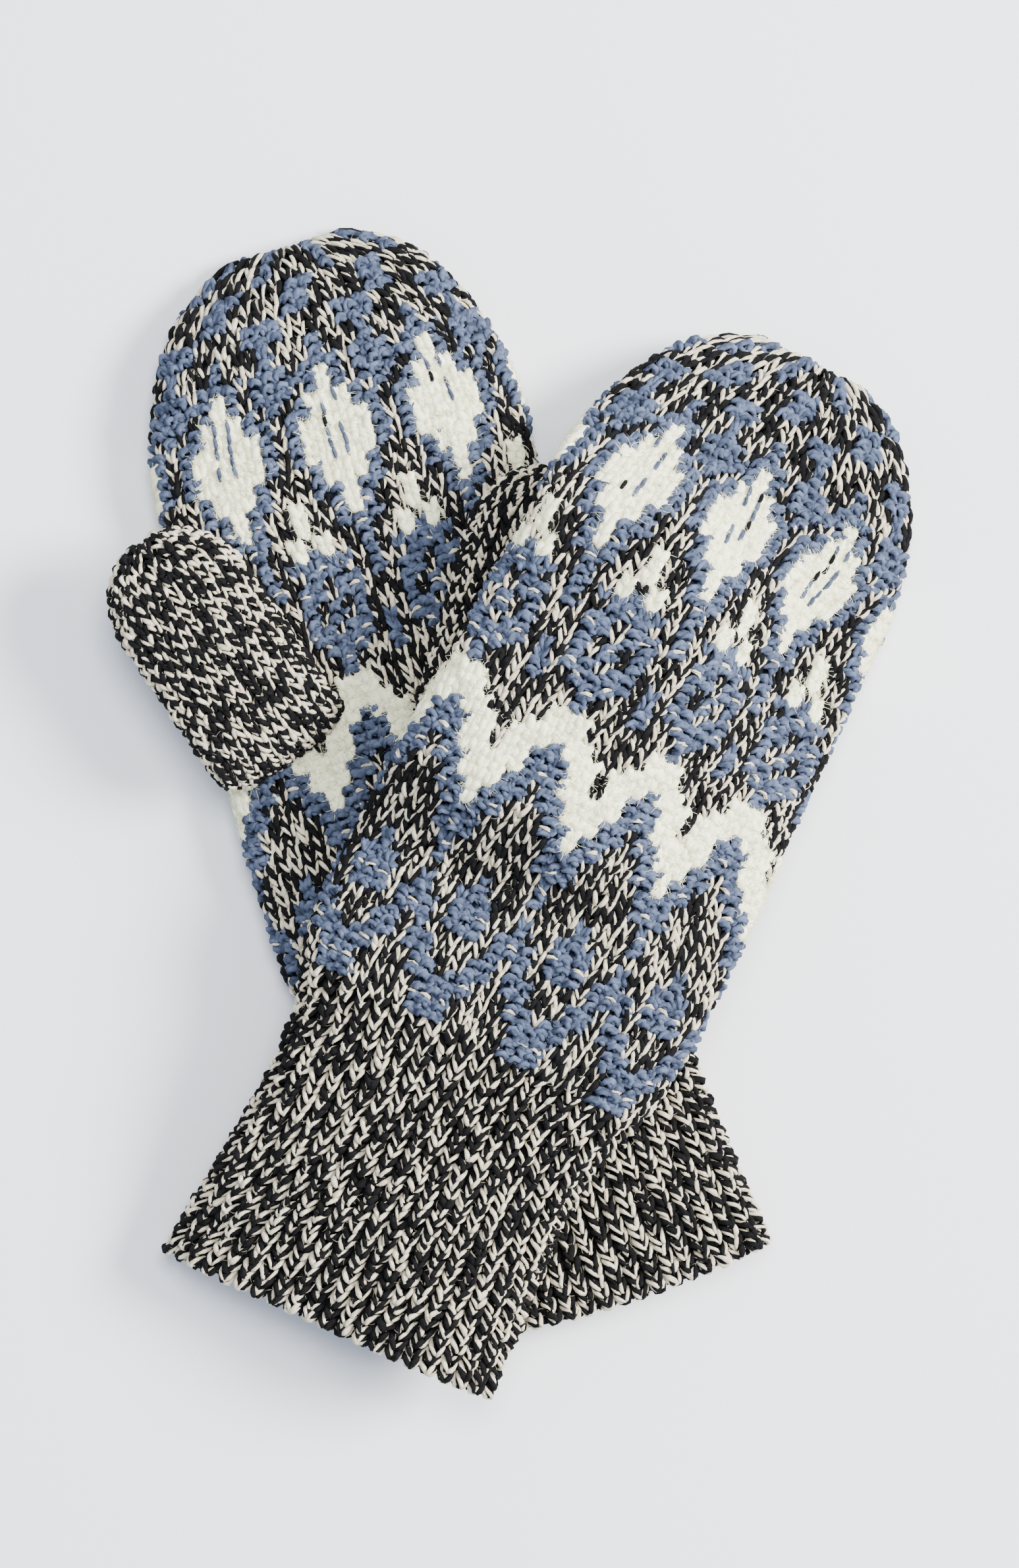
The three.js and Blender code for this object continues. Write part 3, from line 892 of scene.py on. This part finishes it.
def fibres(fabric, f, t, rng, length, radius, height):
    """Fine curved hairs that stand a little off the fabric."""
    n = len(f)
    root, normal = fabric.lifted(f, t, height * rng.uniform(0.5, 1.3, n))
    ahead = unit(fabric.at(f, t + 1.2) - fabric.at(f, t - 1.2))
    aside = np.cross(normal, ahead)
    turn = rng.uniform(0, 2 * math.pi, (n, 1))
    heading = ahead * np.cos(turn) + aside * np.sin(turn)
    bend = np.cross(normal, heading) * rng.normal(0, 0.5, (n, 1))
    rise = rng.uniform(0.1, 0.65, (n, 1))
    reach = rng.uniform(0.5, 1.0, (n, 1)) * length
    points = []
    for share in (0.0, 0.4, 0.75, 1.0):
        arch = normal * rise * share * (1.4 - 0.7 * share)
        points.append(root + reach * (heading * share + bend * share**2 + arch))
    centres = np.stack(points, axis=1)
    radii = np.broadcast_to(radius * np.array([1.0, 0.9, 0.7, 0.3])[None, :], (n, 4))
    return tube_rings(centres, np.broadcast_to(normal[:, None], centres.shape), radii, 3)


def fibres_on(stitches, rng, per_stitch, length, radius=0.045, height=0.9):
    """Hairs at random places on the stitches that are seen from above."""
    stitches = stitches.chosen(seen_from_above(stitches))
    n = len(stitches) * per_stitch
    f, t, wales = (np.repeat(value, per_stitch) for value in (stitches.f, stitches.t, stitches.wales))
    f = f + rng.uniform(-0.5, 0.5, n) / wales
    t = t + rng.uniform(-0.2, 1.1, n) * stitches.pitch
    return fibres(stitches.fabric, f, t, rng, length, radius, height)


# ---- The ground of the fabric -------------------------------------------------------------------
def ground_piece(name, fabric, t_values, columns, depth, shaded_tint_of, wall=1.8):
    """A thin tube `depth` under the fabric. It has an outer and an inner wall, and closed rims. The
    outer wall's UVs fill the lower half of the map, and the inner wall's fill the upper half."""
    f = np.arange(columns) / columns
    ff, tt = np.meshgrid(f, t_values)
    walls = [fabric.lifted(ff, tt, np.full(ff.shape, -d))[0] for d in (depth, depth + wall)]
    rows = len(t_values)
    points = np.concatenate([w.reshape(-1, 3) for w in walls])
    outer = np.arange(rows * columns).reshape(rows, columns)
    inner = outer + rows * columns
    sign = fabric.outward

    def strip(a, b):
        c, d = np.roll(b, -1), np.roll(a, -1)
        quads = np.stack([a, d, c, b], -1)
        return quads if sign > 0 else quads[:, ::-1]

    faces = [strip(outer[i], outer[i + 1]) for i in range(rows - 1)]
    faces += [strip(inner[i + 1], inner[i]) for i in range(rows - 1)]
    faces += [strip(inner[0], outer[0]), strip(outer[-1], inner[-1])]
    quads = np.concatenate(faces)
    uv = np.stack([np.tile(ff.ravel(), 2), np.concatenate([tt.ravel(), tt.ravel()])], -1)
    uv[:, 1] = (uv[:, 1] - t_values.min()) / max(np.ptp(t_values), 1e-6)
    uv[: rows * columns, 1] = 0.01 + 0.47 * uv[: rows * columns, 1]
    uv[rows * columns :, 1] = 0.52 + 0.47 * uv[rows * columns :, 1]
    loop_uv = uv[quads.ravel()].reshape(-1, 4, 2)
    wrapped = (loop_uv[:, :, 0].max(1) - loop_uv[:, :, 0].min(1)) > 0.5
    loop_uv[wrapped, :, 0] = np.where(loop_uv[wrapped, :, 0] < 0.5, 1.0, loop_uv[wrapped, :, 0])
    starts = 4 * np.arange(len(quads))
    uvs = loop_uv.reshape(-1, 2)
    piece = finish_mesh(name, [points], [quads.ravel()], [starts], [uvs], SHADED_GROUND, LOWEST_GROUND)
    # Each point takes its ground colour, darkened as painted shade for the gaps between the stitches.
    tint = piece.data.color_attributes.new("tint", "FLOAT_COLOR", "POINT")
    colours = np.tile(shaded_tint_of(ff.ravel(), tt.ravel()), (2, 1))
    tint.data.foreach_set("color", colours.astype(np.float32).ravel())
    return piece


def chart_shade_tint(mitten):
    """Gives the ground's colour at any f and t: the chart's colour, darkened as painted shade for the
    gaps between the stitches.
    """
    def shaded_tint_of(f, t):
        column = np.floor(f * WALES + mitten["chart_at_middle"] + 0.5).astype(int) % REPEAT
        row = np.floor((t - FIRST_ROW) / ROW).astype(int)
        colours = np.array([SHADED_GROUND_TINTS[MARL]] * len(f))
        for r in range(len(CHART)):
            for c in range(REPEAT):
                colours[(row == r) & (column == c)] = SHADED_GROUND_TINTS[CHART[r][c]]
        return colours

    return shaded_tint_of


# The marl ground's colour everywhere: near black, painted shade between the stitches.
def marl_shade_tint(f, t):
    return np.array([SHADED_GROUND_TINTS[MARL]] * len(f))


def fasten(mitten, piece, part):
    """Rides with the CAD body of its mitten, except the fingers, the thumb and the right mitten's cuff,
    which stay where they are built and are attached to nothing.
    """
    name = mitten["name"]
    body = f"{name}_mitten_body"
    if part == "fingers":
        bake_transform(piece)
    elif part == "thumb":
        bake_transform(piece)
    elif part == "cuff" and name == "right":
        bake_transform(piece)
    else:
        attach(piece, body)


NODES = {
    "cuff": ["cuff_edge", "cuff"],
    "palm": ["scallop_band", "zigzag_band"],
    "fingers": ["hexagon_band", "leaf_band", "crown", "crown_gather"],
    "thumb": ["thumb_gusset", "thumb", "thumb_gather"],
}


def add_yarns(mitten, part, yarns):
    """yarns is a list of (piece name, arrays of rings, material, slot); the slot is not used."""
    for label, tubes, material, slot in yarns:
        piece = shape_mesh(f"{mitten['name']}_{part}_{label}", tubes, material)
        fasten(mitten, piece, part)


def add_ground(mitten, part, piece):
    """The ground takes the place of all the CAD nodes of its part."""
    fasten(mitten, piece, part)
    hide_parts(*[f"{mitten['name']}_{node}" for node in NODES[part]])


def build_cuff(mitten, fabric):
    rng = mitten["rng"]
    stitches = cuff_stitches(fabric)
    cream, black = marl_legs(stitches, rng, RIB_LEG, CUFF_RADII)
    inner = cuff_stitches(hand_fabric(mitten, INNER_INSET, outward=-1), LINED_ROWS, offset=0.5, rib=0.4)
    inside = marl_legs(inner, rng, RIB_LEG, CUFF_RADII)
    columns = np.arange(CUFF_WALES) / CUFF_WALES
    hem = Stitches(fabric, columns, np.full(CUFF_WALES, HEM_ROW), CUFF_WALES, CUFF_ROW)
    centres, normals = hem.paths(HEM_LOOP, rng)
    light, dark = plied(centres, normals, rng, ply_radii=0.55, offset=0.42, twist=5.0, sides=5)
    cream.append(light)
    black.append(dark)
    hairs = fibres_on(stitches, rng, 1, 1.9, radius=0.035, height=1.2)
    add_yarns(mitten, "cuff", [
        ("cream", cream, CREAM, "marl_yarn"),
        ("black", black, BLACK, "marl_yarn"),
        ("inside_cream", inside[0], CREAM, "marl_yarn"),
        ("inside_black", inside[1], BLACK, "marl_yarn"),
        ("hairs", [hairs], CREAM, "marl_yarn"),
    ])
    ground = ground_piece(
        f"{mitten['name']}_cuff_ground", fabric, np.linspace(0.4, WRIST + 1.5, 60), columns=210,
        depth=1.5, shaded_tint_of=marl_shade_tint, wall=0.6,
    )
    add_ground(mitten, "cuff", ground)


def build_hand(mitten, fabric, part, from_s, to_s):
    rng = mitten["rng"]
    found = hand_stitches(mitten, fabric, from_s, to_s)
    cream, black = marl_legs(found[MARL], rng)
    blue, blue_hairs = [], []
    for purl in (found[BLUE_PURL], found[FLOAT]):
        blue += single_colour(purl, PURL_BUMP, rng, radius=0.84, offset=0.54, wander=0.08, turn=0.4)
        blue += single_colour(purl, PURL_LINK, rng, radius=0.72, offset=0.46, wander=0.09, turn=0.5)
        blue_hairs.append(fibres_on(purl, rng, 3, 1.7, height=1.4))
    dashes = found[FLOAT].chosen(rng.random(len(found[FLOAT])) > 1 - FLOAT_SHARE)
    centres, normals = dashes.paths(FLOAT_DASH, rng, wander=0.1, turn=0.35)
    floats = plied(centres, normals, rng, ply_radii=0.36, offset=0.24, twist=3.0, sides=5)
    blue += single_colour(found[BLUE_KNIT], KNIT_LEG, rng, radius=0.72, offset=0.44, both_legs=True)
    white = white_legs(found[WHITE_KNIT], rng)
    white_hairs = fibres_on(found[WHITE_KNIT], rng, 34, 2.4, radius=0.065, height=1.25)
    if part == "fingers":
        slits = leaf_slits(mitten, fabric)
        centres, normals = slits.paths(SLIT, rng)
        radii = SLIT_RADIUS * np.ones(centres.shape[:2]) * ends_in(len(SLIT))
        lines = tube_rings(centres, normals, radii, 5)
        in_black = rng.random(len(slits)) < BLACK_SLIT_SHARE
        black.append(lines[in_black])
        blue.append(lines[~in_black])
    marl_hairs = fibres_on(found[MARL], rng, 1, 1.8, radius=0.035)
    add_yarns(mitten, part, [
        ("cream", cream, CREAM, "marl_yarn"),
        ("black", black, BLACK, "marl_yarn"),
        ("blue", blue, BLUE, "blue_yarn"),
        ("floats", floats, CREAM, "marl_yarn"),
        ("white", white, WHITE, "white_yarn"),
        ("white_hairs", [white_hairs], WHITE, "white_yarn"),
        ("blue_hairs", blue_hairs, BLUE, "blue_yarn"),
        ("cream_hairs", [marl_hairs], CREAM, "marl_yarn"),
    ])
    last = min(to_s + 1.0, LENGTH - 0.9)
    ground = ground_piece(
        f"{mitten['name']}_{part}_ground", fabric, np.linspace(from_s - 0.5, last, 90), columns=256,
        depth=1.1, shaded_tint_of=chart_shade_tint(mitten),
    )
    add_ground(mitten, part, ground)


def build_thumb(mitten, fabric):
    rng = mitten["rng"]
    stitches = thumb_stitches(fabric)
    cream, black = marl_legs(stitches, rng, RIB_LEG)
    hairs = fibres_on(stitches, rng, 1, 1.8, radius=0.035)
    add_yarns(mitten, "thumb", [
        ("cream", cream, CREAM, "marl_yarn"),
        ("black", black, BLACK, "marl_yarn"),
        ("hairs", [hairs], CREAM, "marl_yarn"),
    ])
    ground = ground_piece(
        f"{mitten['name']}_thumb_ground", fabric, np.linspace(fabric.start + 1.5, -0.8, 60),
        columns=120, depth=1.1, shaded_tint_of=marl_shade_tint,
    )
    add_ground(mitten, "thumb", ground)


for mitten in (LEFT, RIGHT):
    fabric = hand_fabric(mitten)
    build_cuff(mitten, fabric)
    build_hand(mitten, fabric, "palm", WRIST, ZIGZAG_END)
    build_hand(mitten, fabric, "fingers", ZIGZAG_END, LENGTH)
    build_thumb(mitten, thumb_fabric(mitten))


# ---- Floor, camera and light --------------------------------------------------------------------
def add_floor():
    bpy.ops.mesh.primitive_plane_add(size=6, location=(0, 0, 0))
    floor = bpy.context.active_object
    floor.name = "floor"
    material = bpy.data.materials.new("pale_floor")
    material.use_nodes = True
    nodes, links = material.node_tree.nodes, material.node_tree.links
    shader = nodes["Principled BSDF"]
    shader.inputs["Roughness"].default_value = 0.85
    shader.inputs["Specular IOR Level"].default_value = 0.1
    place = nodes.new("ShaderNodeTexCoord")
    noise = nodes.new("ShaderNodeTexNoise")
    noise.inputs["Scale"].default_value = 3
    ramp = nodes.new("ShaderNodeValToRGB")
    ramp.color_ramp.elements[0].color = linear(234, 237, 243)
    ramp.color_ramp.elements[1].color = linear(240, 242, 247)
    links.new(place.outputs["Object"], noise.inputs["Vector"])
    links.new(noise.outputs["Fac"], ramp.inputs["Fac"])
    links.new(ramp.outputs["Color"], shader.inputs["Base Color"])
    floor.data.materials.append(material)


CAMERA_HEIGHT = 1.5
VIEW_LONG_SIDE = 0.4027  # what the image's long side takes in at MIDDLE_HEIGHT
VIEW_CENTRE = (0.00077, 0.01031)
MIDDLE_HEIGHT = 0.02  # about the middle of the pair's height


def add_camera():
    data = bpy.data.cameras.new("camera")
    data.lens = data.sensor_width * (CAMERA_HEIGHT - MIDDLE_HEIGHT) / VIEW_LONG_SIDE
    camera = bpy.data.objects.new("camera", data)
    camera.location = (*VIEW_CENTRE, CAMERA_HEIGHT)
    bpy.context.scene.collection.objects.link(camera)
    bpy.context.scene.camera = camera


def add_light(name, location, size, power_watts, colour):
    """A soft round light that points at the origin."""
    data = bpy.data.lights.new(name, "AREA")
    data.shape = "DISK"
    data.size = size
    data.energy = power_watts
    data.color = colour
    light = bpy.data.objects.new(name, data)
    light.location = location
    light.rotation_mode = "QUATERNION"
    light.rotation_quaternion = (-Vector(location)).to_track_quat("-Z", "Y")
    bpy.context.scene.collection.objects.link(light)


def add_world(colour, strength):
    world = bpy.data.worlds.new("studio")
    world.use_nodes = True
    background = world.node_tree.nodes["Background"]
    background.inputs["Color"].default_value = (*colour, 1)
    background.inputs["Strength"].default_value = strength
    bpy.context.scene.world = world


add_floor()
add_camera()
add_world((0.76, 0.85, 1.0), 1.02)
add_light("key", (1.6, 0.3, 1.3), size=0.9, power_watts=138, colour=(1.0, 0.968, 0.91))
add_light("overhead", (0.1, 0.5, 1.9), size=0.8, power_watts=42, colour=(1.0, 0.985, 0.96))
